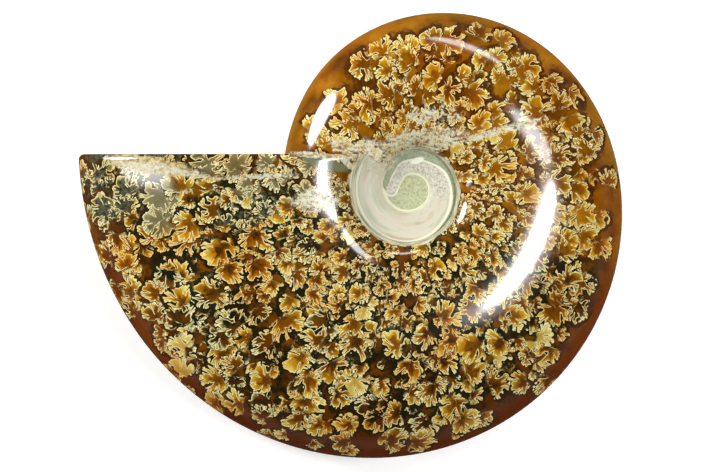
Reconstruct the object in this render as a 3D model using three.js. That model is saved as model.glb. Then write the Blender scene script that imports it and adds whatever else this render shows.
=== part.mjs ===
// A polished cleoniceras ammonite, whole, lying on its flank. One natural piece, so one solid.
//
// The shell is a flat coil. A section through the whorl runs from the umbilical seam, up the umbilical wall,
// over the crest of the flank and down to the venter, and is the same on the other flank. The section shrinks
// as the angle back from the aperture grows. The last whorl shows whole. Behind it each whorl shows only
// between its own seam and the seam of the whorl outside it, inside the umbilicus, down to a disc of matrix.
//
// Millimetres and radians. +Z is up, the aperture end is at -X, the sawn aperture face looks along +Y.

import * as THREE from 'three';
import { mergeVertices } from 'three/addons/utils/BufferGeometryUtils.js';

const TURN = 2 * Math.PI;

// Venter: a growing spiral with three slow undulations, each [share of the radius, angle of its swell].
const VENTER_RADIUS_AT_APERTURE = 66.84;
const WHORL_GROWTH = 0.1496;
const UNDULATIONS = [[0.027, 4.109], [0.0179, 2.281], [0.0054, 0.129]];

// Umbilical seam: its radius at each quarter turn back from the aperture.
const SEAM_RADII = [11.4, 10.0, 8.55, 7.9, 6.2, 4.1, 3.6, 3.4, 2.7, 2.3];

// Half thicknesses, from the middle plane of the coil.
const CREST_HEIGHT = 14.2;
const CREST_FADE = 0.075;
const UMBILICUS_FLOOR = 5.2;
const SEAM_FADE = 0.31;
const FLANK_FULLNESS = 2.2;
const VENTER_ROUNDING = 0.56;
const WALL_FULLNESS = 2.4;

// The aperture is sawn on a plane parallel to the coil's axis and this far from it.
const SAW_OFFSET = 7.07;
const SAW_REACH = 0.8;

// Lying pose: the coil leans about X and Y as it comes to rest, and the underside has a shallow worn flat.
const LEAN = { x: 0.02, y: 0.045 };
const FLAT_DEPTH = 0.6;
const COIL_AXIS = { x: 11.54, y: 8.95 };

// Facets: steps in one turn, along the umbilical wall, from the crest to the venter, and past the second turn.
const TURN_STEPS = 84;
const WALL_STEPS = 5;
const FLANK_STEPS = 11;
const HOOK_STEPS = 5;
const HOOK_BULGE = 0.2;

const HALF_STEPS = WALL_STEPS + FLANK_STEPS;
const STEP_ANGLE = TURN / TURN_STEPS;

function venterRadius(back) {
  let swell = 0;
  UNDULATIONS.forEach(([share, peak], i) => {
    swell += share * Math.cos((i + 1) * back - peak);
  });
  return VENTER_RADIUS_AT_APERTURE * Math.exp(swell - WHORL_GROWTH * back);
}

// A Catmull-Rom curve through the seam radii, one for each quarter turn.
function seamRadius(back) {
  const at = Math.max(0, back / (TURN / 4));
  const i = Math.min(Math.floor(at), SEAM_RADII.length - 2);
  const f = at - i;
  const last = SEAM_RADII.length - 1;
  const [a, b, c, d] = [i - 1, i, i + 1, i + 2].map((k) => SEAM_RADII[Math.min(Math.max(k, 0), last)]);
  return b + 0.5 * f * (c - a + f * (2 * a - 5 * b + 4 * c - d + f * (3 * (b - c) + d - a)));
}

const crestHeight = (back) => CREST_HEIGHT * Math.exp(-CREST_FADE * back);

// At the aperture the seam lies on the crest of the whorl one turn back.
const SEAM_HEIGHT = crestHeight(TURN) - UMBILICUS_FLOOR;
const seamHeight = (back) => UMBILICUS_FLOOR + SEAM_HEIGHT * Math.exp(-SEAM_FADE * back);

// One turn back from the aperture the crest has the radius of the seam that covers it.
const CREST_SHARE = (seamRadius(0) - seamRadius(TURN)) / (venterRadius(TURN) - seamRadius(TURN));
const crestRadius = (back) => seamRadius(back) + CREST_SHARE * (venterRadius(back) - seamRadius(back));

// Radial planes near the aperture are turned so that the plane at the aperture is the saw cut.
function screwAngle(back, radius) {
  const near = back - TURN * Math.round(back / TURN);
  const reach = Math.exp(-((near / SAW_REACH) ** 2));
  return Math.PI + back - reach * Math.asin(SAW_OFFSET / Math.max(radius, seamRadius(0)));
}

function coilPoint(back, radius, height) {
  const angle = screwAngle(back, radius);
  return new THREE.Vector3(radius * Math.cos(angle), radius * Math.sin(angle), height);
}

const wallRise = (share) => (1 - (1 - share) ** WALL_FULLNESS) ** (1 / WALL_FULLNESS);

// Steps along a quarter oval, close together where it turns steeply.
const wallShare = (step) => 1 - Math.cos((step / WALL_STEPS) * (Math.PI / 2));
const flankShare = (step) => Math.sin((step / FLANK_STEPS) * (Math.PI / 2));

// Point number step of the half section, from the seam to the venter, on the flank that side points to.
function sectionPoint(back, step, side) {
  const seam = seamRadius(back);
  const crest = crestRadius(back);
  if (step <= WALL_STEPS) {
    const share = wallShare(step);
    const rise = (crestHeight(back) - seamHeight(back)) * wallRise(share);
    return coilPoint(back, seam + (crest - seam) * share, side * (seamHeight(back) + rise));
  }
  const share = flankShare(step - WALL_STEPS);
  const drop = Math.max(0, 1 - share ** FLANK_FULLNESS) ** VENTER_ROUNDING;
  return coilPoint(back, crest + (venterRadius(back) - crest) * share, side * crestHeight(back) * drop);
}

// Point of an inner whorl, from its own seam to the seam of the whorl outside it.
function innerPoint(back, step, side, hook) {
  const share = wallShare(step);
  const outerSeam = back - TURN;
  const radius = seamRadius(back) + (seamRadius(outerSeam) - seamRadius(back)) * share;
  const rise = (seamHeight(outerSeam) - seamHeight(back)) * wallRise(share);
  return coilPoint(back + hook * HOOK_BULGE * Math.sin(Math.PI * share), radius, side * (seamHeight(back) + rise));
}

function range(count, make) {
  return Array.from({ length: count + 1 }, (unused, i) => make(i));
}

// Adds the facets between neighbouring rows of points, leaving out those that have shrunk to a line.
function addSheet(corners, rows, flipped) {
  const addFacet = (a, b, c) => {
    if (a.distanceTo(b) > 1e-6 && b.distanceTo(c) > 1e-6 && c.distanceTo(a) > 1e-6) {
      corners.push(...(flipped ? [a, c, b] : [a, b, c]));
    }
  };
  for (let i = 0; i + 1 < rows.length; i += 1) {
    for (let j = 0; j + 1 < rows[i].length; j += 1) {
      addFacet(rows[i][j], rows[i + 1][j], rows[i + 1][j + 1]);
      addFacet(rows[i][j], rows[i + 1][j + 1], rows[i][j + 1]);
    }
  }
}

function sectionRow(back) {
  const top = range(HALF_STEPS, (j) => sectionPoint(back, j, 1));
  const under = range(HALF_STEPS, (j) => sectionPoint(back, j, -1)).reverse();
  return [...top, ...under.slice(1)];
}

function lastWhorl(corners) {
  addSheet(corners, range(TURN_STEPS, (i) => sectionRow(i * STEP_ANGLE)), true);
}

// The sawn face is a crescent between the aperture section and the whorl one turn back.
function apertureFace(corners) {
  const outer = sectionRow(0);
  const inner = sectionRow(TURN);
  const covered = outer.map((unused, j) => (
    inner[Math.min(Math.max(j, WALL_STEPS), 2 * HALF_STEPS - WALL_STEPS)]
  ));
  covered[0] = outer[0];
  addSheet(corners, [outer, covered], false);
}

// The whorls inside the umbilicus, ending in a rounded hook, and the disc of matrix within them.
function umbilicus(corners, side) {
  const steps = TURN_STEPS + HOOK_STEPS;
  const rows = range(steps, (i) => (
    range(WALL_STEPS, (j) => innerPoint(TURN + i * STEP_ANGLE, j, side, i === steps ? 1 : 0))
  ));
  addSheet(corners, rows, side > 0);

  const rim = rows.slice(HOOK_STEPS).map((row) => row[0]);
  const border = [...rim, ...rows[steps].slice(1)];
  const middle = new THREE.Vector3(0, 0, side * UMBILICUS_FLOOR);
  addSheet(corners, [border, border.map(() => middle)], side > 0);
}

// Leans the coil, wears the flat on its lowest side and sets that flat on the plane z = 0.
function layDown(corners) {
  const lean = new THREE.Matrix4().makeRotationFromEuler(new THREE.Euler(LEAN.x, LEAN.y, 0));
  corners.forEach((corner) => corner.applyMatrix4(lean));
  const lowest = Math.min(...corners.map((corner) => corner.z));
  const ground = lowest + FLAT_DEPTH;
  corners.forEach((corner) => {
    corner.set(corner.x + COIL_AXIS.x, corner.y + COIL_AXIS.y, Math.max(0, corner.z - ground));
  });
}

function ammoniteGeometry() {
  const facets = [];
  lastWhorl(facets);
  apertureFace(facets);
  umbilicus(facets, 1);
  umbilicus(facets, -1);
  const corners = facets.map((corner) => corner.clone());
  layDown(corners);
  const geometry = mergeVertices(new THREE.BufferGeometry().setFromPoints(corners), 1e-4);
  geometry.computeVertexNormals();
  return geometry;
}

const polishedCalcite = new THREE.MeshStandardMaterial({ color: 0x8a5a1e, roughness: 0.12, metalness: 0 });

const ammonite = new THREE.Mesh(ammoniteGeometry(), polishedCalcite);
ammonite.name = 'ammonite';

const part = new THREE.Group();
part.add(ammonite);

export default part;
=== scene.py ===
"""A polished cleoniceras ammonite lying on its flank, dressed for the picture.

The solid from the pack is replaced by a finer mesh of the same shell, made from the same formulas: a flat
coil whose section runs from the umbilical seam, over the crest of the flank, to the venter. The sutures,
the matrix and the worn places are colour in the materials, since the real shell is polished smooth.

Metres for objects, millimetres and radians inside the shell's own formulas and its materials. Colours are
red, green and blue as they look in the picture, from 0 to 255.
"""

import math

import bmesh
import bpy
import numpy as np
from mathutils import Matrix, Vector
from mathutils.bvhtree import BVHTree


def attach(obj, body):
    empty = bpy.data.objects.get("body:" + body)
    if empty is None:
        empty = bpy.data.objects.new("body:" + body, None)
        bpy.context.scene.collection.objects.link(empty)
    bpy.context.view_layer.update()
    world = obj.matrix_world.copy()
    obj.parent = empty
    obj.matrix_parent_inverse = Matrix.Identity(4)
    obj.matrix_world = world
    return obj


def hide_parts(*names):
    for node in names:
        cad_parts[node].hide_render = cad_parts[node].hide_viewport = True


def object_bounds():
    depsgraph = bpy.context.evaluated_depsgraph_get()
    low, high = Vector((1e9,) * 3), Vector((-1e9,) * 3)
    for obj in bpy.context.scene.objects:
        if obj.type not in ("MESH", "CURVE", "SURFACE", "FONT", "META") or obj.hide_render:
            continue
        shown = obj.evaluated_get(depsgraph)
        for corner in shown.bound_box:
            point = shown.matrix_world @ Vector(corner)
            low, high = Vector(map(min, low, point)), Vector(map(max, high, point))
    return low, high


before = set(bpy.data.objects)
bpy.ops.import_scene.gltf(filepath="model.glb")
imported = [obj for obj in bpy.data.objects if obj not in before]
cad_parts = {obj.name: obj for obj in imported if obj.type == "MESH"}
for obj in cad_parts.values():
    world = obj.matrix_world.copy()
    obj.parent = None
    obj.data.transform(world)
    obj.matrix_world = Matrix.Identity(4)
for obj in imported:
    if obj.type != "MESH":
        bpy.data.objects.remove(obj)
CAD_LOW, CAD_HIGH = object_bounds()

MM = 0.001
TURN = 2 * math.pi

# The photograph: its size in pixels, a pixel's size, and the pixel where the coil's axis stands.
PHOTO_WIDTH = 708
PHOTO_HEIGHT = 472
PIXEL_MM = 0.1963
AXIS_PIXEL = (410, 190)

# The coil, as in the part's source.
COIL_AXIS = (11.54, 8.95)
VENTER_RADIUS_AT_APERTURE = 66.84
WHORL_GROWTH = 0.1496
UNDULATIONS = [(0.027, 4.109), (0.0179, 2.281), (0.0054, 0.129)]
SEAM_RADII = [11.4, 10.0, 8.55, 7.9, 6.2, 4.1, 3.6, 3.4, 2.7, 2.3]
CREST_HEIGHT = 14.2
CREST_FADE = 0.075
UMBILICUS_FLOOR = 5.2
SEAM_FADE = 0.31
FLANK_FULLNESS = 2.2
VENTER_ROUNDING = 0.56
WALL_FULLNESS = 2.4
SAW_OFFSET = 7.07
SAW_REACH = 0.8
LEAN = (0.02, 0.045)
FLAT_DEPTH = 0.6
HOOK_ANGLE = 5 / 84 * TURN
HOOK_BULGE = 0.2

# The fine mesh: steps round one turn, across the wall and the flank, and inwards on the face and the disc.
TURN_STEPS = 420
WALL_STEPS = 14
FLANK_STEPS = 42
FACE_RINGS = 3
DISC_RINGS = 4

# The sawn edge is polished round, in close steps over a first small angle, and fades out on the wall.
RIM_RADIUS = 1.1
RIM_STEPS = 12
RIM_ANGLE = 0.12
RIM_FADE_SHARE = 0.5

# Points closer than this are one corner, in metres; edges that turn more than this stay sharp.
WELD = 2e-6
CREASE = math.radians(50)

# Material slots on the shell's mesh.
FLANK, WALL, DISC, FACE = range(4)

# The map of the unrolled flank: how far along X the underside's lies from the upper side's, how much longer
# the way across is than the straight one, and the least distance from the axis.
UNDERSIDE_SHIFT = 300.0
EDGE_STRETCH = 1.1
LEAST_DISTANCE = 12.0

# One suture leaf, in cells: how long it is at its sides for a length of 1 ahead, how its fingers bend and
# differ, where it fades in behind its root, and the small spurs along its edge.
LEAF_SIDES = 0.68
LEAF_SEED_STRIDE = 37.0
FINGER_WAVE = 0.35
FINGER_NOISE = (1.3, 1.0)
FINGER_BEND = 1.5
FINGER_UNEVENNESS = 0.7
ROOT_FADE = (-0.42, 0.06)
SPURS_PER_CELL = 6.5
SPUR_HEIGHT = 0.06

# The slots between fingers, deep ones first: how many to a finger, where the bottom lies as a share of the
# length, the half width there, and how fast the slot flares from it.
LEAF_SLOTS = [(1.0, 0.50, 0.030, 0.16), (2.0, 0.70, 0.018, 0.20), (4.0, 0.88, 0.006, 0.24)]
SLOT_UNEVENNESS = 0.7
SLOT_ROUNDING = 0.05

# How leaves differ from one another: the range above the least and the least, of fingers and of length, and
# the spread of headings.
LEAF_FINGERS = (1.5, 2.6)
LEAF_STRETCH = (0.3, 0.82)
HEADING_SPREAD = 3.6

# How leaves are strewn, in cells: unevenness, length, and how far the map wobbles. A layer's zone fades over
# a share of the whorl's width, and beyond a line in millimetres north the leaves are a little sparser.
LEAF_SCATTER = 0.76
LEAF_LENGTH = 0.76
LEAF_WOBBLE = 0.25
WOBBLE_NOISE = (1.9, 1.0)
LAYER_STRIDE = (17.3, 9.1, 0.0)
ZONE_EDGE = 0.2
SPARSE_NORTH = (0.0, 15.0)
SPARSE_SHARE = 0.88

# Measuring how far a leaf's edge is: the step between probes, the least slope, the reach over which the
# nearer of two leaves wins, and a distance that stands for no leaf at all.
PROBE_STEP = 0.012
LEAST_SLOPE = 0.7
LEAF_EDGE = 0.15
FAR_AWAY = 9.0

# Layers of leaves from the smallest up. Size is a cell's width, and Line, Halo and Depth are in millimetres
# too; Start and End are shares of the way across the whorl, and Keep is the share of cells with a leaf.
LEAF_LAYERS = [
    (
        {"Size": 2.2, "Seed": 3.0, "Start": -0.2, "End": 0.58, "Keep": 0.76},
        {"Line": 0.055, "Halo": 0.8, "Depth": 0.5},
    ),
    (
        {"Size": 3.8, "Seed": 1.0, "Start": 0.0, "End": 1.0, "Keep": 0.92},
        {"Line": 0.068, "Halo": 1.4, "Depth": 0.8},
    ),
    (
        {"Size": 5.6, "Seed": 2.0, "Start": 0.3, "End": 1.12, "Keep": 0.92},
        {"Line": 0.078, "Halo": 2.0, "Depth": 1.1},
    ),
]

# Paint of a leaf: bands in millimetres from its edge, or in its heart, which counts up from 0 at the edge
# by the way in and by the way back to the root. Then which random numbers make a leaf brown or bleached.
HALO_START = 0.2
LEAF_COVER = (-0.02, 0.05)
HEART_FROM_EDGE = 0.45
HEART_FROM_ROOT = 0.7
SUNK_HEART = (0.45, 0.85)
SUNK_SHARE = 0.85
DARK_HEART = (0.12, 0.36)
BROWN_LEAVES = (0.35, 0.65)
BLEACHED_SHARE = 0.04

# Worn and discoloured places on the upper flank: the photograph's pixel at the middle, half length and half
# width in millimetres, turn in degrees, and how far the edge strays. They fade out at the edge and below a
# height.
PATCH_LOWEST = (15.0, 16.5)
PATCH_EDGE = (0.75, 1.1)
SLATE_PATCHES = [
    ((110, 188), 6.5, 7.0, 0, 5.0),
    ((175, 158), 19.0, 1.2, 0, 1.2),
    ((205, 166), 5.5, 1.9, 0, 1.5),
    ((250, 210), 7.0, 3.0, 20, 5.0),
]
DARK_HEART_PATCHES = [
    ((190, 325), 8.0, 7.0, 0, 6.0),
    ((390, 410), 9.0, 3.5, -15, 5.0),
]
TAUPE_PATCHES = [
    ((163, 204), 4.2, 6.5, 8, 2.0),
    ((238, 164), 9.0, 2.6, 0, 2.0),
    ((262, 188), 6.0, 2.4, 0, 2.0),
    ((312, 186), 7.0, 5.0, 0, 3.0),
]
HOLLOW_PATCHES = [((326, 165), 5.0, 1.1, -14, 0.8)]
TAN_PATCHES = [((152, 166), 9.0, 1.7, -9, 2.0)]
CRUST_PATCHES = [
    ((430, 117), 6.0, 1.1, 0, 8.0),
    ((316, 201), 4.6, 2.2, 0, 4.0),
    ((372, 167), 3.2, 1.3, -40, 1.6),
    ((166, 171), 10.5, 1.0, -8, 2.4),
    ((255, 178), 9.0, 0.5, 3, 2.0),
    ((424, 141), 9.0, 2.4, 6, 6.0),
    ((502, 131), 9.0, 0.8, 16, 2.4),
    ((350, 150), 4.5, 1.6, -20, 3.5),
    ((378, 156), 4.6, 2.6, -38, 1.6),
    ((322, 157), 7.5, 0.7, -6, 0.7),
]
LIP_PATCHES = [((348, 165), 2.6, 0.6, -40, 0.4)]
WHITE_PATCHES = [((417, 161), 1.5, 0.6, 18, 0.3)]
HOOK_END = [((391.5, 189), 1.5, 1.25, 75, 0.25)]

# Where the amber ground changes, from a change's start to its full strength: shares of the way across the
# whorl, and millimetres north and east in the frame. The gold rim is painted light, lighter as if lit
# through the thin amber; the red rim on the south and the side darkened to the south and west are painted
# shade. The damp side lies beyond a line that leans.
LIT_GOLD_RIM_SHARES = (0.84, 1.0)
SHADED_RED_RIM_SHARES = (0.74, 0.92)
SHADED_RED_RIM_NORTH = (8.0, -16.0)
SHADED_SIDE_NORTH = (-12.0, -36.0)
SHADED_SIDE_EAST = (-34.0, -46.0)
DAMP_SHARES = (0.97, 0.72)
DAMP_NORTH = (16.0, 2.0)
LEANING_LINE = 0.25

# The lip of shell along the seam: its width as a share of the whorl, how far that strays, how soft its edge
# is, the dark line at the seam itself, and the stretch of its growth lines.
LIP_SHARE = 0.055
LIP_STRAY = 0.05
LIP_SOFTNESS = 0.004
SEAM_LINE_SHARES = (0.016, 0.004)
LIP_STRETCH = (3.0, 110.0)

# The inner whorls, by the angle back from where they start: where the shell is worn thin, where the line of
# shell comes inwards, in two steps, and where it ends. Then the lines' shares of the way across.
THIN_SHELL_BACK = (2.9, 3.7)
LINE_BEND = (1.2, 3.6, 0.98, 0.80)
LINE_SECOND_BEND = (3.5, 4.4, 0.0, 0.22)
HOOK_LINED_BACK = (3.6, 3.0)
LINE_SHARES = (0.06, 0.03)
INNER_LINE_SHARES = (0.055, 0.035)
DISC_LINE_SHARES = (0.90, 0.93)
WHORL_STRETCH = (1.1, 3.5)
HOOK_EDGE = (0.4, 0.8)
HOOK_LINE = (0.03, 0.12)

# Cloudy textures: waves to a millimetre, or to one unit of a stretched map, octaves, and roughness.
PATCH_NOISE = (0.9, 4.0, 0.65)
MOTTLE_NOISE = (0.11, 4.0, 0.6)
DUSK_NOISE = (0.26, 3.0, 0.6)
GRAIN_NOISE = (1.5, 4.0, 0.7)
STAIN_NOISE = (0.09, 2.0, 0.5)
BUFFING_NOISE = (0.3, 3.0, 0.6)
CHALK_STREAK_NOISE = (1.0, 5.0, 0.7)
CHALK_SPECK_NOISE = (1.9, 3.0, 0.7)
CHALK_STRETCH = (0.7, 1.4, 1.0)
LIP_NOISE = (1.0, 4.0, 0.65)
LIP_STRAY_NOISE = (0.35, 3.0, 0.6)
WHORL_NOISE = (1.0, 4.0, 0.6)
SHELL_SPECK_NOISE = (2.6, 3.0, 0.75)
MATRIX_SPECK_NOISE = (2.4, 4.0, 0.75)
SAWN_NOISE = (0.22, 4.0, 0.6)
SAWN_GRIT_NOISE = (1.8, 3.0, 0.7)

# Bands of colour along a texture or into a leaf: a place in the band, and the colour there.
AMBER = [(0.30, (66, 36, 2)), (0.45, (110, 64, 2)), (0.58, (146, 92, 4)), (0.72, (174, 122, 20))]
GOLD_LEAF = [(0.0, (226, 214, 138)), (0.12, (206, 182, 74)), (0.31, (184, 138, 26)), (0.64, (142, 86, 8))]
BROWN_LEAF = [(0.0, (220, 208, 134)), (0.12, (190, 166, 62)), (0.28, (158, 110, 16)), (0.62, (104, 56, 2))]
DARK_LEAF = [(0.0, (214, 212, 168)), (0.14, (158, 156, 96)), (0.32, (80, 76, 34))]
TAUPE_LEAF = [(0.0, (204, 200, 162)), (0.14, (158, 150, 106)), (0.4, (122, 113, 78)), (0.8, (104, 95, 64))]
BLEACHED_LEAF = [(0.0, (228, 220, 164)), (0.3, (206, 186, 100)), (0.8, (176, 138, 44))]
CHALK = [(0.36, (92, 84, 56)), (0.43, (156, 142, 104)), (0.49, (192, 185, 150)), (0.58, (208, 209, 188))]
LIP = [(0.34, (98, 102, 72)), (0.44, (154, 152, 118)), (0.52, (200, 194, 162)), (0.62, (218, 212, 188))]
CREAM = [(0.34, (184, 187, 160)), (0.46, (205, 201, 180)), (0.58, (207, 197, 175)), (0.70, (188, 172, 146))]
SAWN_MATRIX = [(0.3, (78, 80, 62)), (0.5, (132, 128, 96)), (0.7, (172, 158, 118))]

# Single colours, and pairs of them from the dark of a speckle to its light.
LEAF_OUTLINE = (236, 224, 166)
# Painted light: the lighter gold of the rim, as if lit through the thin amber.
LIT_GOLD_RIM = (190, 136, 40)
# Painted shade: the darker red-brown of the rim on the south side.
SHADED_RED_RIM = (112, 46, 4)
# Painted shade: the dark red-brown of the south and west side.
SHADED_SIDE = (84, 32, 2)
DAMP_AMBER = (78, 46, 6)
DUSK = (24, 26, 12)
AMBER_HALO = (72, 38, 4)
DAMP_HALO = (32, 28, 10)
WARM_STAIN = (252, 204, 120)
HOLLOW_GREEN = (112, 116, 88)
SEAM_GREEN = (104, 110, 84)
SHELL_LINE = (224, 225, 198)
WHITE_SHELL = (232, 234, 214)
SAWN_GRIT = (206, 198, 164)
SAWN_LINE = (222, 212, 178)
SLATE = ((34, 37, 25), (86, 86, 64))
TAN = ((140, 118, 70), (206, 190, 146))
LILAC = ((158, 156, 136), (212, 208, 192))
WHORL_GREEN = ((132, 140, 112), (164, 170, 140))
DISC_GREEN = ((150, 156, 114), (196, 200, 158))

# The polish: calcite's refraction, roughness where it is smoothest, and how much buffing and wear add.
CALCITE_IOR = 1.66
SMOOTHEST = 0.06
BUFFED = 0.08
WORN = 0.22

# The camera's lens and sensor in millimetres, then metres. Lights are on the scale where 1 shows as white.
CAMERA_LENS = 180
CAMERA_SENSOR = 36
WIDEST_HEIGHT = 0.014
HORIZON_LIGHT = 1.0
ZENITH_LIGHT = 0.13
GLOW_HEIGHT = 0.35
BELOW_LIGHT = 0.2
BELOW_HEIGHTS = (-0.3, 0.05)
MIRRORED_SHARE = 0.16
FLOOR_HALF_WIDTH = 1.5
FLOOR_GAP = 0.00005
PAPER = {
    "Base Color": (0.9, 0.9, 0.9, 1),
    "Roughness": 0.9,
    "Emission Color": (1, 1, 1, 1),
    "Emission Strength": 0.35,
}

# Softboxes: name, the photograph's pixels where its reflection runs from and to, width, and brightness.
SOFTBOX_DISTANCE = 0.5
SOFTBOXES = [
    ("right_softbox", (550, 186), (483, 308), 0.07, 28),
    ("right_glow", (556, 192), (462, 324), 0.14, 2.0),
    ("left_softbox", (332, 94), (312, 146), 0.2, 18),
    ("corner_softbox", (122, 168), (176, 179), 0.03, 8),
    ("top_softbox", (428, 38), (500, 66), 0.05, 7),
    ("shoulder_softbox", (342, 228), (369, 260), 0.075, 9),
]


def seam_radius(back):
    """A Catmull-Rom curve through the seam radii, one for each quarter turn."""
    at = np.maximum(0, np.asarray(back, float) / (TURN / 4))
    i = np.minimum(at.astype(int), len(SEAM_RADII) - 2)
    f = at - i
    radii = np.array(SEAM_RADII)
    a, b, c, d = (radii[np.clip(i + k, 0, len(radii) - 1)] for k in (-1, 0, 1, 2))
    return b + 0.5 * f * (c - a + f * (2 * a - 5 * b + 4 * c - d + f * (3 * (b - c) + d - a)))


def venter_radius(back):
    swell = sum(share * np.cos((i + 1) * back - peak) for i, (share, peak) in enumerate(UNDULATIONS))
    return VENTER_RADIUS_AT_APERTURE * np.exp(swell - WHORL_GROWTH * back)


def crest_height(back):
    return CREST_HEIGHT * np.exp(-CREST_FADE * back)


def seam_height(back):
    return UMBILICUS_FLOOR + (crest_height(TURN) - UMBILICUS_FLOOR) * np.exp(-SEAM_FADE * back)


def crest_radius(back):
    covered = seam_radius(0) - seam_radius(TURN)
    share = covered / (venter_radius(TURN) - seam_radius(TURN))
    return seam_radius(back) + share * (venter_radius(back) - seam_radius(back))


def screw_angle(back, radius):
    """Radial planes near the aperture are turned, so that the plane at the aperture is the saw cut."""
    near = back - TURN * np.floor(back / TURN + 0.5)
    reach = np.exp(-((near / SAW_REACH) ** 2))
    return math.pi + back - reach * np.arcsin(SAW_OFFSET / np.maximum(radius, seam_radius(0)))


def wall_rise(share):
    return (1 - (1 - share) ** WALL_FULLNESS) ** (1 / WALL_FULLNESS)


def wall_shares():
    return 1 - np.cos(np.arange(WALL_STEPS + 1) / WALL_STEPS * math.pi / 2)


def flank_shares():
    return np.sin(np.arange(1, FLANK_STEPS + 1) / FLANK_STEPS * math.pi / 2)


def turn_angles():
    """Angles back from the aperture over one turn, close together at the rounded sawn rim."""
    rim = RIM_ANGLE * (np.arange(RIM_STEPS) / RIM_STEPS) ** 2
    rest = np.linspace(RIM_ANGLE, TURN, TURN_STEPS - RIM_STEPS + 1)
    return np.concatenate([rim, rest])


def half_section(back):
    """Radius and height of the section from seam to venter, for each angle: arrays of angles by steps."""
    back = back[:, None]
    seam, crest, venter = seam_radius(back), crest_radius(back), venter_radius(back)
    wall, flank = wall_shares()[None], flank_shares()[None]
    low, high = seam_height(back), crest_height(back)
    wall_radius = seam + (crest - seam) * wall
    wall_height = low + (high - low) * wall_rise(wall)
    flank_radius = crest + (venter - crest) * flank
    flank_height = high * np.maximum(0, 1 - flank ** FLANK_FULLNESS) ** VENTER_ROUNDING
    return np.hstack([wall_radius, flank_radius]), np.hstack([wall_height, flank_height])


def round_the_rim(back, radius, height):
    """Moves the section inwards close to the saw cut, so that the cut's edge is a quarter round."""
    angle = screw_angle(back[:, None], radius)
    to_cut = SAW_OFFSET - radius * np.sin(angle)
    near = np.clip(1 - to_cut / RIM_RADIUS, 0, 1)
    near[back > TURN / 2] = 0
    depth = RIM_RADIUS * (1 - np.sqrt(1 - near ** 2))
    along = np.gradient(radius, axis=1), np.gradient(height, axis=1)
    length = np.hypot(*along)
    inward_radius, inward_height = along[1] / length, -along[0] / length
    inward_radius[:, -1], inward_height[:, -1] = -1, 0
    wall = np.clip(np.arange(radius.shape[1]) / (WALL_STEPS * RIM_FADE_SHARE), 0, 1)
    depth *= wall * wall * (3 - 2 * wall)
    new_radius = radius + depth * inward_radius
    new_height = np.maximum(0, height + depth * inward_height)
    return new_radius, new_height, screw_angle(back[:, None], new_radius)


def unrolled(radius, height):
    """Distance along the section from the coil's axis, so that markings keep their size down the venter."""
    steps = np.hypot(np.diff(radius, axis=1), np.diff(height, axis=1))
    start = seam_radius(0) * np.ones((len(radius), 1))
    return np.hstack([start, start + np.cumsum(steps, axis=1)])


class Sheets:
    """Gathers points and quads, with where each point lies on the coil, before they become one mesh."""

    def __init__(self):
        self.points, self.quads, self.slots, self.marks, self.count = [], [], [], [], 0

    def add(self, points, coil, share, back, slot, flipped):
        """points is rows by columns by 3; coil, share and back tell each point's place on the shell."""
        rows, columns = points.shape[:2]
        index = self.count + np.arange(rows * columns).reshape(rows, columns)
        quads = np.stack([index[:-1, :-1], index[1:, :-1], index[1:, 1:], index[:-1, 1:]], axis=-1)
        quads = quads.reshape(-1, 4)
        self.quads.append(quads[:, ::-1] if flipped else quads)
        self.points.append(points.reshape(-1, 3))
        self.marks.append(np.dstack([coil, share, back]).reshape(-1, 4))
        self.slots.append(np.full(len(quads), slot))
        self.count += rows * columns


def flat_place(angle, distance, side):
    """Where a point lies on the unrolled flank; the underside has a map of its own."""
    shift = 0 if side > 0 else UNDERSIDE_SHIFT
    return np.dstack([distance * np.cos(angle) + shift, distance * np.sin(angle)])


def coil_points(angle, radius, height):
    return np.dstack([radius * np.cos(angle), radius * np.sin(angle), height * np.ones_like(radius)])


def last_whorl(sheets):
    """The whorl that shows whole, from seam to venter on either side."""
    back = turn_angles()
    flat_radius, flat_height = half_section(back)
    radius, height, angle = round_the_rim(back, flat_radius, flat_height)
    distance = unrolled(flat_radius, flat_height)
    share = (distance - distance[:, :1]) / (distance[:, -1:] - distance[:, :1])
    backs = back[:, None] * np.ones_like(radius)
    for side in (1, -1):
        points = coil_points(angle, radius, side * height)
        sheets.add(points, flat_place(angle, distance, side), share, backs, FLANK, side > 0)


def aperture_face(sheets):
    """The sawn crescent, from the rounded rim in to the whorl one turn back."""
    ends = np.array([0.0, TURN])
    radius, height, angle = round_the_rim(ends, *half_section(ends))
    inner_step = np.maximum(np.arange(radius.shape[1]), WALL_STEPS)
    for side in (1, -1):
        row = coil_points(angle, radius, side * height)
        outer, inner = row[0], row[1][inner_step].copy()
        inner[0] = outer[0]
        share = np.linspace(0, 1, FACE_RINGS + 1)[:, None, None]
        points = outer[None] * (1 - share) + inner[None] * share
        place = np.dstack([points[..., 0], points[..., 2]])
        zero = np.zeros(points.shape[:2])
        sheets.add(points, place, zero + share[..., 0], zero, FACE, side < 0)


def matrix_disc(sheets, points, start, side):
    """A shallow fan to the middle, from the innermost turn of the seam and the end of the hook."""
    border = np.concatenate([points[start:, 0], points[-1, 1:]])
    middle = np.array([0, 0, side * UMBILICUS_FLOOR])
    shares = np.linspace(0, 1, DISC_RINGS + 1)[:, None, None]
    disc = border[None] * (1 - shares) + middle * shares
    zero = np.zeros(disc.shape[:2])
    sheets.add(disc, disc[..., :2], zero + 1 - shares[..., 0], zero, DISC, side < 0)


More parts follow.
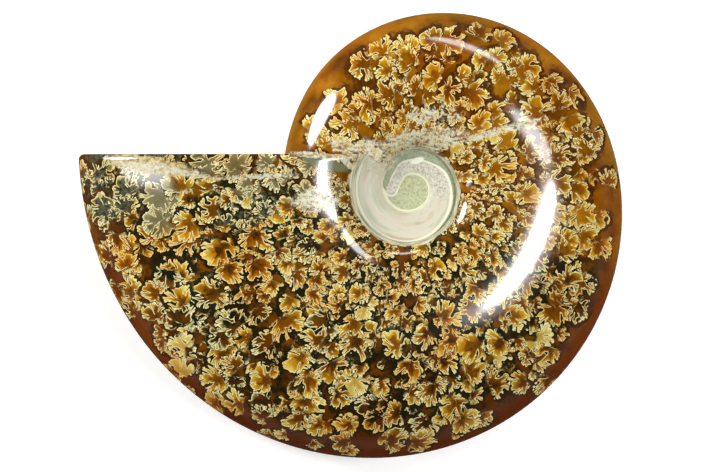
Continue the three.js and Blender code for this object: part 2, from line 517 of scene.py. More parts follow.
def umbilicus(sheets):
    """The whorls inside the umbilicus, ending in a rounded hook, and the disc of matrix within them."""
    turn = turn_angles()
    hook_steps = np.searchsorted(turn, HOOK_ANGLE)
    back = TURN + np.concatenate([turn, TURN + turn[1:hook_steps + 1]])
    share = wall_shares()[None] * np.ones((len(back), 1))
    inner_seam, outer_seam = seam_radius(back)[:, None], seam_radius(back - TURN)[:, None]
    low, high = seam_height(back)[:, None], seam_height(back - TURN)[:, None]
    radius = inner_seam + (outer_seam - inner_seam) * share
    height = low + (high - low) * wall_rise(share)
    backs = back[:, None] * np.ones_like(share)
    backs[-1] += HOOK_BULGE * np.sin(math.pi * share[-1])
    angle = screw_angle(backs, radius)
    for side in (1, -1):
        points = coil_points(angle, radius, side * height)
        sheets.add(points, flat_place(angle, radius, side), share, backs, WALL, side < 0)
        matrix_disc(sheets, points, hook_steps, side)


def lay_down(points):
    """Leans the coil as it rests, wears the flat on its lowest side and sets it on the plane z = 0."""
    (cos_x, sin_x), (cos_y, sin_y) = ((math.cos(lean), math.sin(lean)) for lean in LEAN)
    about_x = np.array([[1, 0, 0], [0, cos_x, -sin_x], [0, sin_x, cos_x]])
    about_y = np.array([[cos_y, 0, sin_y], [0, 1, 0], [-sin_y, 0, cos_y]])
    points = points @ (about_x @ about_y).T
    points[:, 2] = np.maximum(0, points[:, 2] - points[:, 2].min() - FLAT_DEPTH)
    return points + np.array([*COIL_AXIS, 0])


def shell_mesh():
    sheets = Sheets()
    last_whorl(sheets)
    aperture_face(sheets)
    umbilicus(sheets)
    points = lay_down(np.vstack(sheets.points)) * MM
    points = np.clip(points, np.array(CAD_LOW), np.array(CAD_HIGH))
    quads = np.vstack(sheets.quads)
    mesh = bpy.data.meshes.new("ammonite_shell")
    mesh.from_pydata(points.tolist(), [], quads.tolist())
    mesh.polygons.foreach_set("material_index", np.concatenate(sheets.slots))
    corner = np.vstack(sheets.marks)[quads.ravel()]
    coil = mesh.uv_layers.new(name="coil")
    coil.uv.foreach_set("vector", corner[:, :2].ravel())
    for name, column in (("share", 2), ("back", 3)):
        attribute = mesh.attributes.new(name, "FLOAT", "CORNER")
        attribute.data.foreach_set("value", corner[:, column])
    weld(mesh)
    return mesh


def weld(mesh):
    """Joins the sheets' matching edges and keeps creases sharp only where the sawn face meets the shell."""
    work = bmesh.new()
    work.from_mesh(mesh)
    bmesh.ops.remove_doubles(work, verts=work.verts, dist=WELD)
    work.to_mesh(mesh)
    work.free()
    mesh.polygons.foreach_set("use_smooth", np.ones(len(mesh.polygons), bool))
    mesh.set_sharp_from_angle(angle=CREASE)


def srgb(red, green, blue):
    """A colour as it looks in the picture, as the shader's linear red, green, blue and alpha."""
    def linear(value):
        value /= 255
        return value / 12.92 if value <= 0.04045 else ((value + 0.055) / 1.055) ** 2.4
    return (linear(red), linear(green), linear(blue), 1.0)


def pixel_place(x, y):
    """Where a pixel of the photograph lies, in metres, seen straight down."""
    return (
        ((x - AXIS_PIXEL[0]) * PIXEL_MM + COIL_AXIS[0]) * MM,
        (-(y - AXIS_PIXEL[1]) * PIXEL_MM + COIL_AXIS[1]) * MM,
    )


class Nodes:
    """Short ways to add nodes to one tree and join them up."""

    def __init__(self, tree):
        self.tree = tree

    def add(self, kind, *values, **settings):
        node = self.tree.nodes.new(kind)
        for name, value in settings.items():
            setattr(node, name, value)
        for socket, value in zip(node.inputs, values):
            self.feed(socket, value)
        return node

    def feed(self, socket, value):
        if isinstance(value, bpy.types.NodeSocket):
            self.tree.links.new(value, socket)
        elif value is not None:
            socket.default_value = value

    def feed_named(self, node, **values):
        for name, value in values.items():
            self.feed(node.inputs[name.replace("_", " ")], value)

    def math(self, operation, *values, clamp=False):
        return self.add("ShaderNodeMath", *values, operation=operation, use_clamp=clamp).outputs[0]

    def times(self, first, second):
        return self.math("MULTIPLY", first, second)

    def minus(self, first, second, clamp=False):
        return self.math("SUBTRACT", first, second, clamp=clamp)

    def times_plus(self, value, factor, addend):
        return self.math("MULTIPLY_ADD", value, factor, addend)

    def vector(self, operation, *values, scale=None):
        node = self.add("ShaderNodeVectorMath", *values, operation=operation)
        self.feed(node.inputs[3], scale)
        return node.outputs["Value" if operation == "LENGTH" else "Vector"]

    def parts(self, vector):
        return self.add("ShaderNodeSeparateXYZ", vector).outputs

    def join(self, x=0.0, y=0.0, z=0.0):
        return self.add("ShaderNodeCombineXYZ", x, y, z).outputs[0]

    def rise(self, value, start, end, low=0.0, high=1.0):
        """A smooth step from low to high as value goes from start to end."""
        node = self.add("ShaderNodeMapRange", value, start, end, low, high, interpolation_type="SMOOTHSTEP")
        return node.outputs[0]

    def stray(self, value, amount, middle):
        """Moves middle either way by a random value from 0 to 1, by up to half the amount."""
        return self.times_plus(self.minus(value, 0.5), amount, middle)

    def reshuffle(self, value, factor):
        """Another random number from 0 to 1, made from one."""
        return self.math("FRACT", self.times(value, factor))

    def blend(self, factor, first, second, mode="MIX"):
        """Mixes two colours, each from other nodes or as it looks in the picture."""
        node = self.add("ShaderNodeMix", factor, data_type="RGBA", blend_type=mode)
        for socket, colour in ((node.inputs[6], first), (node.inputs[7], second)):
            self.feed(socket, srgb(*colour) if isinstance(colour, tuple) else colour)
        return node.outputs[2]

    def choose(self, factor, first, second):
        return self.add("ShaderNodeMix", factor, None, first, second).outputs[0]

    def noise(self, place, scale, detail=2.0, roughness=0.5, output=0, dimensions="3D"):
        node = self.add("ShaderNodeTexNoise", noise_dimensions=dimensions)
        self.feed_named(node, Vector=place, Scale=scale, Detail=detail, Roughness=roughness)
        return node.outputs[output]

    def pushed(self, place, texture, strength, dimensions="3D"):
        """A place moved about by a cloudy texture."""
        push = self.noise(place, *texture, output=1, dimensions=dimensions)
        push = self.vector("SCALE", self.vector("SUBTRACT", push, (0.5, 0.5, 0.5)), scale=strength)
        return self.vector("ADD", place, push)

    def cells(self, place, scale, feature="F1", randomness=1.0):
        node = self.add("ShaderNodeTexVoronoi", voronoi_dimensions="2D", feature=feature)
        self.feed_named(node, Vector=place, Scale=scale, Randomness=randomness)
        return node.outputs

    def ramp(self, factor, stops):
        """A band of colours, given as they look in the picture."""
        node = self.add("ShaderNodeValToRGB", factor)
        band = node.color_ramp.elements
        while len(band) < len(stops):
            band.new(1.0)
        for element, (position, colour) in zip(band, stops):
            element.position = position
            element.color = srgb(*colour)
        return node.outputs[0]

    def mark(self, name):
        """A number kept on the shell's mesh, such as the share of the way across the section."""
        return self.add("ShaderNodeAttribute", attribute_name=name).outputs["Fac"]

    def coil_place(self):
        return self.add("ShaderNodeUVMap", uv_map="coil").outputs[0]

    def solid_place(self):
        """Object coordinates in millimetres."""
        place = self.add("ShaderNodeTexCoord").outputs["Object"]
        return self.vector("SCALE", place, scale=1 / MM)

    def patches(self, groups, place, spots):
        """The strongest of several worn patches, each given by a pixel of the photograph."""
        strongest = 0.0
        for (x, y), half_length, half_width, turn, ragged in spots:
            centre = [value / MM for value in pixel_place(x, y)] + [0.0]
            patch = self.use(
                groups["patch"], Place=place, Centre=centre, Half_Length=half_length, Half_Width=half_width,
                Turn=math.radians(turn), Ragged=ragged,
            )
            strongest = self.math("MAXIMUM", patch["Mask"], strongest)
        return strongest

    def use(self, group, **values):
        node = self.add("ShaderNodeGroup", node_tree=group)
        self.feed_named(node, **values)
        return node.outputs


SOCKETS = {"number": "NodeSocketFloat", "vector": "NodeSocketVector", "colour": "NodeSocketColor"}

# What a layer of leaves tells of each point: how far it is outside a leaf, how far from the root as a share
# of the length, how much of the leaf shows there, and the leaf's own random number.
LEAF_MARKS = ("Outside", "Reach", "Root", "Random")


def start_group(name, inputs, outputs):
    """A new shader node group, its sockets given by kind: the nodes, its inputs, and its outputs to feed."""
    tree = bpy.data.node_groups.new(name, "ShaderNodeTree")
    for sockets, direction in ((inputs, "INPUT"), (outputs, "OUTPUT")):
        for kind, titles in sockets.items():
            for title in titles:
                tree.interface.new_socket(title, in_out=direction, socket_type=SOCKETS[kind])
    nodes = Nodes(tree)
    return nodes, nodes.add("NodeGroupInput").outputs, nodes.add("NodeGroupOutput").inputs


def worn_patch_group():
    """A ragged oval on the upper flank, turned by an angle: 1 in its middle, 0 outside."""
    inputs = {"vector": ["Place", "Centre"], "number": ["Half Length", "Half Width", "Turn", "Ragged"]}
    nodes, given, out = start_group("worn patch", inputs, {"number": ["Mask"]})
    ragged = nodes.pushed(given["Place"], PATCH_NOISE, given["Ragged"])
    x, y, _ = nodes.parts(nodes.vector("SUBTRACT", ragged, given["Centre"]))
    cosine = nodes.math("COSINE", given["Turn"])
    sine = nodes.math("SINE", given["Turn"])
    along = nodes.math("ADD", nodes.times(x, cosine), nodes.times(y, sine))
    across = nodes.minus(nodes.times(y, cosine), nodes.times(x, sine))
    along = nodes.math("DIVIDE", along, given["Half Length"])
    across = nodes.math("DIVIDE", across, given["Half Width"])
    mask = nodes.rise(nodes.vector("LENGTH", nodes.join(along, across)), *PATCH_EDGE, 1.0, 0.0)
    upper = nodes.rise(nodes.parts(given["Place"])["Z"], *PATCH_LOWEST)
    nodes.feed(out["Mask"], nodes.times(mask, upper))
    return nodes.tree


def chalky_crust_group():
    """The chalky streaks of crusted shell: their colour, and how much they hide what lies under them."""
    outputs = {"colour": ["Colour"], "number": ["Cover"]}
    nodes, given, out = start_group("chalky crust", {"vector": ["Place"]}, outputs)
    streaks = nodes.noise(nodes.vector("MULTIPLY", given["Place"], CHALK_STRETCH), *CHALK_STREAK_NOISE)
    specks = nodes.noise(given["Place"], *CHALK_SPECK_NOISE)
    chalk = nodes.times(nodes.math("ADD", streaks, specks), 0.5)
    nodes.feed(out["Colour"], nodes.ramp(chalk, CHALK))
    nodes.feed(out["Cover"], nodes.rise(chalk, 0.40, 0.53, 0.0, 0.9))
    return nodes.tree


def coil_spot_group():
    """Turns a place on the unrolled flank into the share across the whorl and the angle round the coil."""
    nodes, given, out = start_group("coil spot", {"vector": ["Place"]}, {"number": ["Share", "Angle"]})
    x, y, _ = nodes.parts(given["Place"])
    under = nodes.math("GREATER_THAN", x, UNDERSIDE_SHIFT / 2)
    x = nodes.minus(x, nodes.times(under, UNDERSIDE_SHIFT))
    distance = nodes.vector("LENGTH", nodes.join(x, y))
    angle = nodes.math("ARCTAN2", y, x)
    safe = nodes.math("MAXIMUM", distance, LEAST_DISTANCE)
    lag = nodes.math("ARCSINE", nodes.math("DIVIDE", SAW_OFFSET, safe))
    back = nodes.math("ADD", nodes.minus(angle, math.pi), lag)
    back = nodes.math("WRAP", back, TURN, 0.0)
    swell = 0.0
    for i, (share, peak) in enumerate(UNDULATIONS):
        wave = nodes.math("COSINE", nodes.times_plus(back, float(i + 1), -peak))
        swell = nodes.times_plus(wave, share, swell)
    power = nodes.minus(swell, nodes.times(back, WHORL_GROWTH))
    edge = nodes.times(nodes.math("EXPONENT", power), VENTER_RADIUS_AT_APERTURE * EDGE_STRETCH)
    seam = float(seam_radius(0))
    across = nodes.math("DIVIDE", nodes.minus(distance, seam), nodes.minus(edge, seam))
    nodes.feed(out["Share"], across)
    nodes.feed(out["Angle"], angle)
    return nodes.tree


def leaf_outline_group():
    """How far a point is outside one suture leaf: fingers parted by slots, fading at the root."""
    inputs = {"vector": ["Local"], "number": ["Heading", "Fingers", "Length", "Seed"]}
    nodes, given, out = start_group("leaf outline", inputs, {"number": ["Outside", "Reach", "Root"]})
    x, y, _ = nodes.parts(given["Local"])
    turned = nodes.minus(nodes.math("ARCTAN2", y, x), given["Heading"])
    turned = nodes.math("WRAP", turned, math.pi, -math.pi)
    from_root = nodes.vector("LENGTH", given["Local"])
    spread = nodes.times_plus(nodes.math("COSINE", turned), 1 - LEAF_SIDES, LEAF_SIDES)
    spread = nodes.times(given["Length"], spread)
    reach = nodes.math("DIVIDE", from_root, spread)
    around = nodes.times_plus(given["Seed"], LEAF_SEED_STRIDE, turned)
    spot = nodes.join(around, nodes.times(reach, FINGER_WAVE))
    swerve, depth, ripple = nodes.parts(nodes.noise(spot, *FINGER_NOISE, output=1, dimensions="2D"))
    bent = nodes.stray(swerve, FINGER_BEND, turned)
    uneven = nodes.stray(ripple, FINGER_UNEVENNESS, 1.0)
    outside = nodes.minus(from_root, nodes.times(spread, uneven))
    for many, bottom, width, flare in LEAF_SLOTS:
        fingers = nodes.times(given["Fingers"], many)
        beside = nodes.math("ABSOLUTE", nodes.math("SINE", nodes.times(bent, fingers)))
        beside = nodes.times(nodes.math("DIVIDE", beside, fingers), from_root)
        bottom = nodes.times_plus(depth, SLOT_UNEVENNESS, bottom - SLOT_UNEVENNESS / 2)
        past = nodes.minus(from_root, nodes.times(spread, bottom))
        short = nodes.math("MINIMUM", past, 0.0)
        half = nodes.times_plus(nodes.math("MAXIMUM", past, 0.0), flare, width)
        gap = nodes.minus(half, nodes.vector("LENGTH", nodes.join(beside, short)))
        outside = nodes.math("SMOOTH_MAX", outside, gap, SLOT_ROUNDING)
    ahead = nodes.times(reach, nodes.math("COSINE", turned))
    nodes.feed(out["Outside"], outside)
    nodes.feed(out["Reach"], reach)
    nodes.feed(out["Root"], nodes.rise(ahead, *ROOT_FADE))
    return nodes.tree


def leaf_layer_group(outline, spot):
    """A scatter of suture leaves, the nearest two at each point, one laid over the other."""
    inputs = {"vector": ["Place"], "number": ["Size", "Seed", "Start", "End", "Keep"]}
    nodes, given, out = start_group("leaf layer", inputs, {"number": LEAF_MARKS})
    scaled = nodes.vector("SCALE", given["Place"], scale=nodes.math("DIVIDE", 1.0, given["Size"]))
    offset = nodes.vector("SCALE", LAYER_STRIDE, scale=given["Seed"])
    start = nodes.vector("ADD", scaled, offset)
    probes = []
    for shift in ((0.0, 0.0, 0.0), (PROBE_STEP, 0.0, 0.0), (0.0, PROBE_STEP, 0.0)):
        probe = nodes.pushed(nodes.vector("ADD", start, shift), WOBBLE_NOISE, LEAF_WOBBLE, "2D")
        spur = nodes.cells(probe, SPURS_PER_CELL)["Distance"]
        spur = nodes.times_plus(spur, SPUR_HEIGHT, -SPUR_HEIGHT / 2)
        probes.append((probe, spur))
    first, second = (
        one_leaf(nodes, given, outline, spot, probes, offset, nearness) for nearness in ("F1", "F2")
    )
    over = nodes.math("GREATER_THAN", second["Order"], first["Order"])
    near = [nodes.math("LESS_THAN", leaf["Outside"], LEAF_EDGE) for leaf in (first, second)]
    both = nodes.times(*near)
    nearer = nodes.math("LESS_THAN", second["Outside"], first["Outside"])
    use_second = nodes.choose(both, nearer, over)
    for title in LEAF_MARKS:
        nodes.feed(out[title], nodes.choose(use_second, first[title], second[title]))
    return nodes.tree


def one_leaf(nodes, given, outline, spot, probes, offset, nearness):
    """The leaf of the nearest or next nearest cell: its outline, turned outwards, or none where unwanted."""
    cell = nodes.cells(probes[0][0], 1.0, nearness, LEAF_SCATTER)
    pick, lobes, stretch = nodes.add("ShaderNodeSeparateColor", cell["Color"]).outputs
    root = nodes.vector("SCALE", nodes.vector("SUBTRACT", cell["Position"], offset), scale=given["Size"])
    where = nodes.use(spot, Place=root)
    leaf_shape = {
        "Heading": nodes.stray(pick, HEADING_SPREAD, where["Angle"]),
        "Fingers": nodes.times_plus(lobes, *LEAF_FINGERS),
        "Length": nodes.times(nodes.times_plus(stretch, *LEAF_STRETCH), LEAF_LENGTH),
        "Seed": stretch,
    }
    edges = []
    for probe, spur in probes:
        leaf = nodes.use(outline, Local=nodes.vector("SUBTRACT", probe, cell["Position"]), **leaf_shape)
        edges.append((nodes.math("ADD", leaf["Outside"], spur), leaf))
    here, leaf = edges[0]
    rises = [nodes.minus(edge, here) for edge, _ in edges[1:]]
    slope = nodes.math("DIVIDE", nodes.vector("LENGTH", nodes.join(*rises)), PROBE_STEP)
    outside = nodes.math("DIVIDE", here, nodes.math("MAXIMUM", slope, LEAST_SLOPE))
    missing = nodes.times(leaf_missing(nodes, given, root, where, lobes), FAR_AWAY)
    return {
        "Outside": nodes.times_plus(outside, given["Size"], missing),
        "Reach": leaf["Reach"],
        "Root": leaf["Root"],
        "Random": lobes,
        "Order": nodes.reshuffle(pick, 7.31),
    }


def leaf_missing(nodes, given, root, where, random):
    """1 for a cell that is left bare: outside the layer's zone, on the sparse side or by chance."""
    after = nodes.math("DIVIDE", nodes.minus(where["Share"], given["Start"]), ZONE_EDGE)
    before = nodes.math("DIVIDE", nodes.minus(given["End"], where["Share"]), ZONE_EDGE)
    within = nodes.math("MINIMUM", nodes.math("MINIMUM", after, before), 1.0)
    east, north, _ = nodes.parts(root)
    leaning = nodes.times_plus(east, LEANING_LINE, north)
    sparse = nodes.rise(leaning, *SPARSE_NORTH, 1.0, SPARSE_SHARE)
    wanted = nodes.times(within, nodes.times(given["Keep"], sparse))
    return nodes.math("GREATER_THAN", nodes.reshuffle(random, 13.7), wanted)


def leaf_paint_group():
    """Lays one layer of leaves over a colour: a dark halo, gold leaves and thin cream outlines."""
    inputs = {
        "colour": ["Under", "Ground", "Shade"],
        "number": [*LEAF_MARKS, "Grey", "Green", "Line", "Halo", "Depth"],
    }
    nodes, given, out = start_group("leaf paint", inputs, {"colour": ["Colour"]})
    halo = nodes.rise(given["Outside"], HALO_START, given["Halo"], 1.0, 0.0)
    colour = nodes.blend(nodes.times(halo, given["Root"]), given["Under"], given["Shade"])
    inward = nodes.math("DIVIDE", given["Outside"], nodes.times(given["Depth"], -1.0), clamp=True)
    heart = nodes.minus(1.0, given["Reach"], clamp=True)
    heart = nodes.times(heart, HEART_FROM_ROOT)
    heart = nodes.times_plus(inward, HEART_FROM_EDGE, heart)
    leaf = leaf_colour(nodes, given, heart)
    cover = nodes.rise(given["Outside"], *LEAF_COVER, 1.0, 0.0)
    colour = nodes.blend(nodes.times(cover, given["Root"]), colour, leaf)
    distance = nodes.math("ABSOLUTE", given["Outside"])
    line = nodes.rise(distance, nodes.times(given["Line"], 0.5), given["Line"], 1.0, 0.0)
    colour = nodes.blend(nodes.times(line, given["Root"]), colour, LEAF_OUTLINE)
    nodes.feed(out["Colour"], colour)
    return nodes.tree


def leaf_colour(nodes, given, heart):
    """Gold or brown, with the heart sunk into the ground; some leaves are dark, some bleached or taupe."""
    is_brown = nodes.rise(given["Random"], *BROWN_LEAVES)
    inside = nodes.blend(is_brown, nodes.ramp(heart, GOLD_LEAF), nodes.ramp(heart, BROWN_LEAF))
    inside = nodes.blend(nodes.rise(heart, *SUNK_HEART, 0.0, SUNK_SHARE), inside, given["Ground"])
    dark = nodes.blend(nodes.rise(heart, *DARK_HEART), nodes.ramp(heart, DARK_LEAF), given["Ground"])
    is_dark = nodes.math("LESS_THAN", nodes.reshuffle(given["Random"], 29.3), given["Green"])
    inside = nodes.blend(is_dark, inside, dark)
    is_bleached = nodes.math("LESS_THAN", nodes.reshuffle(given["Random"], 53.7), BLEACHED_SHARE)
    inside = nodes.blend(is_bleached, inside, nodes.ramp(heart, BLEACHED_LEAF))
    return nodes.blend(given["Grey"], inside, nodes.ramp(heart, TAUPE_LEAF))


def start_material(name):
    material = bpy.data.materials.new(name)
    material.use_nodes = True
    return material, Nodes(material.node_tree), material.node_tree.nodes["Principled BSDF"].inputs


def amber_ground(nodes, solid, share):
    """The calcite between the leaves, from gold to red-brown round the rim, and how damp it looks. The gold
    of the rim is painted light, as if lit through the thin amber; the red-brown rim on the south and the
    darker south and west side are painted shade.
    """
    colour = nodes.ramp(nodes.noise(solid, *MOTTLE_NOISE), AMBER)
    # Painted light: the ground turns lighter gold towards the venter, as if lit through the thin rim.
    colour = nodes.blend(nodes.rise(share, *LIT_GOLD_RIM_SHARES, 0.0, 0.5), colour, LIT_GOLD_RIM)
    east, north, _ = nodes.parts(solid)
    # Painted shade: the rim on the south side turns a darker red-brown.
    shaded_red_rim = nodes.times(nodes.rise(north, *SHADED_RED_RIM_NORTH), nodes.rise(share, *SHADED_RED_RIM_SHARES))
    colour = nodes.blend(nodes.times(shaded_red_rim, 0.85), colour, SHADED_RED_RIM)
    # Painted shade: the ground darkens towards the south and the west edge.
    shaded_side = nodes.math("MAXIMUM", nodes.rise(north, *SHADED_SIDE_NORTH), nodes.rise(east, *SHADED_SIDE_EAST))
    colour = nodes.blend(nodes.times(shaded_side, 0.8), colour, SHADED_SIDE)
    low_side = nodes.rise(nodes.times_plus(east, LEANING_LINE, north), *DAMP_NORTH)
    damp = nodes.times(nodes.rise(share, *DAMP_SHARES), low_side)
    colour = nodes.blend(nodes.times(damp, 0.6), colour, DAMP_AMBER)
    dusk = nodes.rise(nodes.noise(solid, *DUSK_NOISE), 0.42, 0.60)
    return nodes.blend(nodes.times(dusk, damp), colour, DUSK), damp


def suture_leaves(nodes, groups, ground, marks):
    """Lays the layers of leaves over the ground, the smallest first."""
    colour = ground
    place = nodes.coil_place()
    for scatter, paint in LEAF_LAYERS:
        leaves = nodes.use(groups["layer"], Place=place, **scatter)
        found = {title: leaves[title] for title in LEAF_MARKS}
        painted = nodes.use(groups["paint"], Under=colour, Ground=ground, **marks, **found, **paint)
        colour = painted["Colour"]
    return colour


def seam_lip(nodes, groups, solid, share):
    """The cream lip of shell along the umbilical seam: where it is, and its colour."""
    along, across = LIP_STRETCH
    growth = nodes.join(nodes.times(nodes.mark("back"), along), nodes.times(share, across))
    colour = nodes.ramp(nodes.noise(growth, *LIP_NOISE), LIP)
    colour = nodes.blend(nodes.rise(share, *SEAM_LINE_SHARES, 0.0, 0.7), colour, SEAM_GREEN)
    width = nodes.noise(solid, *LIP_STRAY_NOISE)
    width = nodes.times_plus(width, LIP_STRAY, LIP_SHARE - LIP_STRAY / 2)
    on_lip = nodes.rise(nodes.minus(share, width), LIP_SOFTNESS, -LIP_SOFTNESS)
    return nodes.math("MAXIMUM", on_lip, nodes.patches(groups, solid, LIP_PATCHES)), colour


def chalky_crust(nodes, groups, solid, colour):
    """Lays the crust over a colour, and tells where it is."""
    crust = nodes.patches(groups, solid, CRUST_PATCHES)
    chalk = nodes.use(groups["crust"], Place=solid)
    return crust, nodes.blend(nodes.times(crust, chalk["Cover"]), colour, chalk["Colour"])


def polished_flank(groups):
    """Amber calcite with dark halos and gold suture leaves under a glass-smooth polish."""
    material, nodes, shader = start_material("polished_flank")
    solid, share = nodes.solid_place(), nodes.mark("share")
    ground, damp = amber_ground(nodes, solid, share)
    slate = nodes.patches(groups, solid, SLATE_PATCHES)
    grain = nodes.rise(nodes.noise(solid, *GRAIN_NOISE), 0.36, 0.62)
    ground = nodes.blend(slate, ground, nodes.blend(grain, *SLATE))
    dark_hearts = nodes.patches(groups, solid, DARK_HEART_PATCHES)
    green = nodes.times_plus(damp, 0.14, nodes.times_plus(dark_hearts, 0.6, slate))
    marks = {
        "Grey": nodes.patches(groups, solid, TAUPE_PATCHES),
        "Green": green,
        "Shade": nodes.blend(damp, AMBER_HALO, DAMP_HALO),
    }
    colour = suture_leaves(nodes, groups, ground, marks)
    stain = nodes.rise(nodes.noise(solid, *STAIN_NOISE), 0.45, 0.62, 0.0, 0.5)
    colour = nodes.blend(stain, colour, WARM_STAIN, "MULTIPLY")
    tan = nodes.patches(groups, solid, TAN_PATCHES)
    colour = nodes.blend(tan, colour, nodes.blend(grain, *TAN))
    hollow = nodes.patches(groups, solid, HOLLOW_PATCHES)
    colour = nodes.blend(hollow, colour, HOLLOW_GREEN)
    crust, colour = chalky_crust(nodes, groups, solid, colour)
    on_lip, lip_colour = seam_lip(nodes, groups, solid, share)
    nodes.feed(shader["Base Color"], nodes.blend(on_lip, colour, lip_colour))
    rough = nodes.times_plus(nodes.noise(solid, *BUFFING_NOISE), BUFFED, SMOOTHEST)
    worn = nodes.math("MAXIMUM", crust, on_lip)
    nodes.feed(shader["Roughness"], nodes.times_plus(worn, WORN, rough))
    shader["IOR"].default_value = CALCITE_IOR
    return material


def hook_end(nodes, groups, solid, colour, inside, lined):
    """The innermost whorl's blunt end, laid over a colour; where lined is 1, a line of shell rims it."""
    mask = nodes.patches(groups, solid, HOOK_END)
    colour = nodes.blend(nodes.rise(mask, *HOOK_EDGE), colour, inside)
    ring = nodes.times(mask, nodes.minus(1.0, mask))
    ring = nodes.times(nodes.rise(ring, *HOOK_LINE), lined)
    return nodes.blend(ring, colour, SHELL_LINE)


def umbilicus_shell(groups):
    """Cream inner whorls, speckled where the shell is worn thin, with green matrix beside the last turn."""
    material, nodes, shader = start_material("umbilicus_shell")
    solid = nodes.solid_place()
    share, back = nodes.mark("share"), nodes.mark("back")
    around = nodes.minus(back, TURN)
    along, across = WHORL_STRETCH
    along_whorl = nodes.join(nodes.times(back, along), nodes.times(share, across))
    blotch = nodes.noise(along_whorl, *WHORL_NOISE)
    speck = nodes.rise(nodes.noise(solid, *SHELL_SPECK_NOISE), 0.34, 0.60)
    lilac = nodes.blend(speck, *LILAC)
    thin = nodes.rise(nodes.times_plus(blotch, 0.8, around), *THIN_SHELL_BACK)
    colour = nodes.blend(thin, nodes.ramp(blotch, CREAM), lilac)
    wander = nodes.times_plus(blotch, 0.16, -0.08)
    edge = nodes.minus(nodes.rise(around, *LINE_BEND), nodes.rise(around, *LINE_SECOND_BEND))
    past_edge = nodes.minus(nodes.minus(share, wander), edge)
    colour = nodes.blend(nodes.rise(past_edge, 0.0, 0.05), colour, nodes.blend(speck, *WHORL_GREEN))
    line = nodes.rise(nodes.math("ABSOLUTE", past_edge), *LINE_SHARES)
    line = nodes.math("MAXIMUM", line, nodes.rise(share, *INNER_LINE_SHARES))
    colour = nodes.blend(line, colour, SHELL_LINE)
    _, colour = chalky_crust(nodes, groups, solid, colour)
    colour = nodes.blend(nodes.patches(groups, solid, WHITE_PATCHES), colour, WHITE_SHELL)
    colour = hook_end(nodes, groups, solid, colour, lilac, nodes.rise(around, *HOOK_LINED_BACK))
    nodes.feed(shader["Base Color"], colour)
    shader["Roughness"].default_value = 0.42
    shader["Specular IOR Level"].default_value = 0.3
    return material


def matrix_green(groups):
    """The speckled green matrix inside the innermost whorl, with a pale line of shell round it."""
    material, nodes, shader = start_material("matrix_green")
    solid = nodes.solid_place()
    speck = nodes.rise(nodes.noise(solid, *MATRIX_SPECK_NOISE), 0.32, 0.62)
    line = nodes.rise(nodes.mark("share"), *DISC_LINE_SHARES)
    colour = nodes.blend(line, nodes.blend(speck, *DISC_GREEN), SHELL_LINE)
    colour = hook_end(nodes, groups, solid, colour, nodes.blend(speck, *LILAC), 1.0)
    nodes.feed(shader["Base Color"], colour)
    shader["Roughness"].default_value = 0.5
    return material


def sawn_face():
    """The sawn end: grey-green matrix and tan calcite with a cream line of shell inside its rim."""
    material, nodes, shader = start_material("sawn_face")
    solid = nodes.solid_place()
    blotch = nodes.noise(solid, *SAWN_NOISE)
    grit = nodes.rise(nodes.noise(solid, *SAWN_GRIT_NOISE), 0.4, 0.62)
    colour = nodes.blend(nodes.times(grit, 0.35), nodes.ramp(blotch, SAWN_MATRIX), SAWN_GRIT)
    wander = nodes.times_plus(blotch, 0.06, -0.03)
    line = nodes.minus(nodes.math("ADD", nodes.mark("share"), wander), 0.055)
    colour = nodes.blend(nodes.rise(nodes.math("ABSOLUTE", line), 0.03, 0.01), colour, SAWN_LINE)
    nodes.feed(shader["Base Color"], colour)
    nodes.feed(shader["Roughness"], nodes.times_plus(grit, 0.15, 0.18))
    return material


def shell():
    groups = {
        "layer": leaf_layer_group(leaf_outline_group(), coil_spot_group()),
        "paint": leaf_paint_group(),
        "patch": worn_patch_group(),
        "crust": chalky_crust_group(),
    }
    piece = bpy.data.objects.new("ammonite_shell", shell_mesh())
    bpy.context.scene.collection.objects.link(piece)
    finishes = [polished_flank(groups), umbilicus_shell(groups), matrix_green(groups), sawn_face()]
    for finish in finishes:
        piece.data.materials.append(finish)
    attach(piece, "root")
    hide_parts("ammonite")
    return piece


def camera():
    """Looks straight down on the flank through a long lens, as the photograph does."""
    lens = bpy.data.cameras.new("camera")
    lens.lens = CAMERA_LENS
    lens.sensor_width = CAMERA_SENSOR
    eye = bpy.data.objects.new("camera", lens)
    across = PHOTO_WIDTH * PIXEL_MM * MM
    x, y = pixel_place(PHOTO_WIDTH / 2, PHOTO_HEIGHT / 2)
    eye.location = (x, y, WIDEST_HEIGHT + across * CAMERA_LENS / CAMERA_SENSOR)
    bpy.context.scene.collection.objects.link(eye)
    bpy.context.scene.camera = eye
    return eye


def mirrored(surface, eye, pixel):
    """A spot on the shell under a pixel, and the way from it to what the polish mirrors to the camera."""
    x, y = pixel_place(*pixel)
    spot, normal, _, _ = surface.ray_cast(Vector((x, y, 1.0)), Vector((0, 0, -1)))
    toward = (eye.location - spot).normalized()
    return spot, 2 * toward.dot(normal) * normal - toward


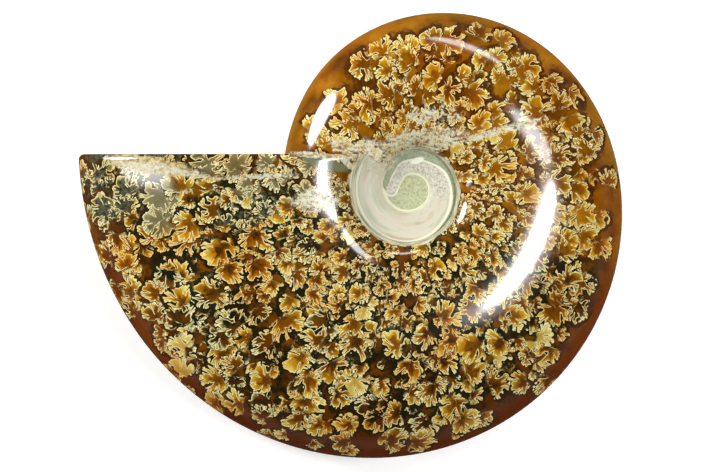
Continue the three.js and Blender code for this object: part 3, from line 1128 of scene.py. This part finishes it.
def softbox(surface, eye, name, start, end, width, brightness):
    """An area light whose reflection runs from one pixel of the photograph to another."""
    first, first_way = mirrored(surface, eye, start)
    last, last_way = mirrored(surface, eye, end)
    first += first_way * SOFTBOX_DISTANCE
    last += last_way * SOFTBOX_DISTANCE
    middle = (first + last) / 2
    facing = (Vector((COIL_AXIS[0] * MM, 0, 0)) - middle).normalized()
    along = (last - first).normalized()
    across = facing.cross(along).normalized()
    light = bpy.data.lights.new(name, "AREA")
    light.shape = "ELLIPSE"
    light.size = width
    light.size_y = (last - first).length
    light.energy = brightness * math.pi * light.size * light.size_y
    box = bpy.data.objects.new(name, light)
    turn = Matrix((across, facing.cross(across), -facing)).transposed()
    box.matrix_world = Matrix.Translation(middle) @ turn.to_4x4()
    bpy.context.scene.collection.objects.link(box)


def studio_walls():
    """Bright walls all round and a dim ceiling, so that the polish looks deep from above."""
    world = bpy.data.worlds.new("studio")
    world.use_nodes = True
    nodes = Nodes(world.node_tree)
    _, _, up = nodes.parts(nodes.add("ShaderNodeTexCoord").outputs["Generated"])
    strength = nodes.rise(up, 0.0, GLOW_HEIGHT, HORIZON_LIGHT, ZENITH_LIGHT)
    strength = nodes.times(strength, nodes.rise(up, *BELOW_HEIGHTS, BELOW_LIGHT, 1.0))
    mirrored_ray = nodes.add("ShaderNodeLightPath").outputs["Is Glossy Ray"]
    strength = nodes.times(strength, nodes.choose(mirrored_ray, 1.0, MIRRORED_SHARE))
    background = nodes.tree.nodes["Background"].inputs
    nodes.feed(background["Strength"], strength)
    background["Color"].default_value = (1, 1, 1, 1)
    return world


def studio(piece):
    eye = camera()
    vertices = [v.co for v in piece.data.vertices]
    surface = BVHTree.FromPolygons(vertices, [tuple(p.vertices) for p in piece.data.polygons])
    for row in SOFTBOXES:
        softbox(surface, eye, *row)
    bpy.context.scene.world = studio_walls()
    bpy.context.scene.view_settings.view_transform = "Standard"


def floor():
    """White paper, just below the shell so that the two never lie in one plane."""
    mesh = bpy.data.meshes.new("floor")
    far = FLOOR_HALF_WIDTH
    mesh.from_pydata([(-far, -far, 0), (far, -far, 0), (far, far, 0), (-far, far, 0)], [], [(0, 1, 2, 3)])
    ground = bpy.data.objects.new("floor", mesh)
    paper, _, shader = start_material("white_paper")
    for name, value in PAPER.items():
        shader[name].default_value = value
    mesh.materials.append(paper)
    bpy.context.scene.collection.objects.link(ground)
    ground.location.z = -FLOOR_GAP
    ground.visible_glossy = False


ammonite_shell = shell()
studio(ammonite_shell)
floor()
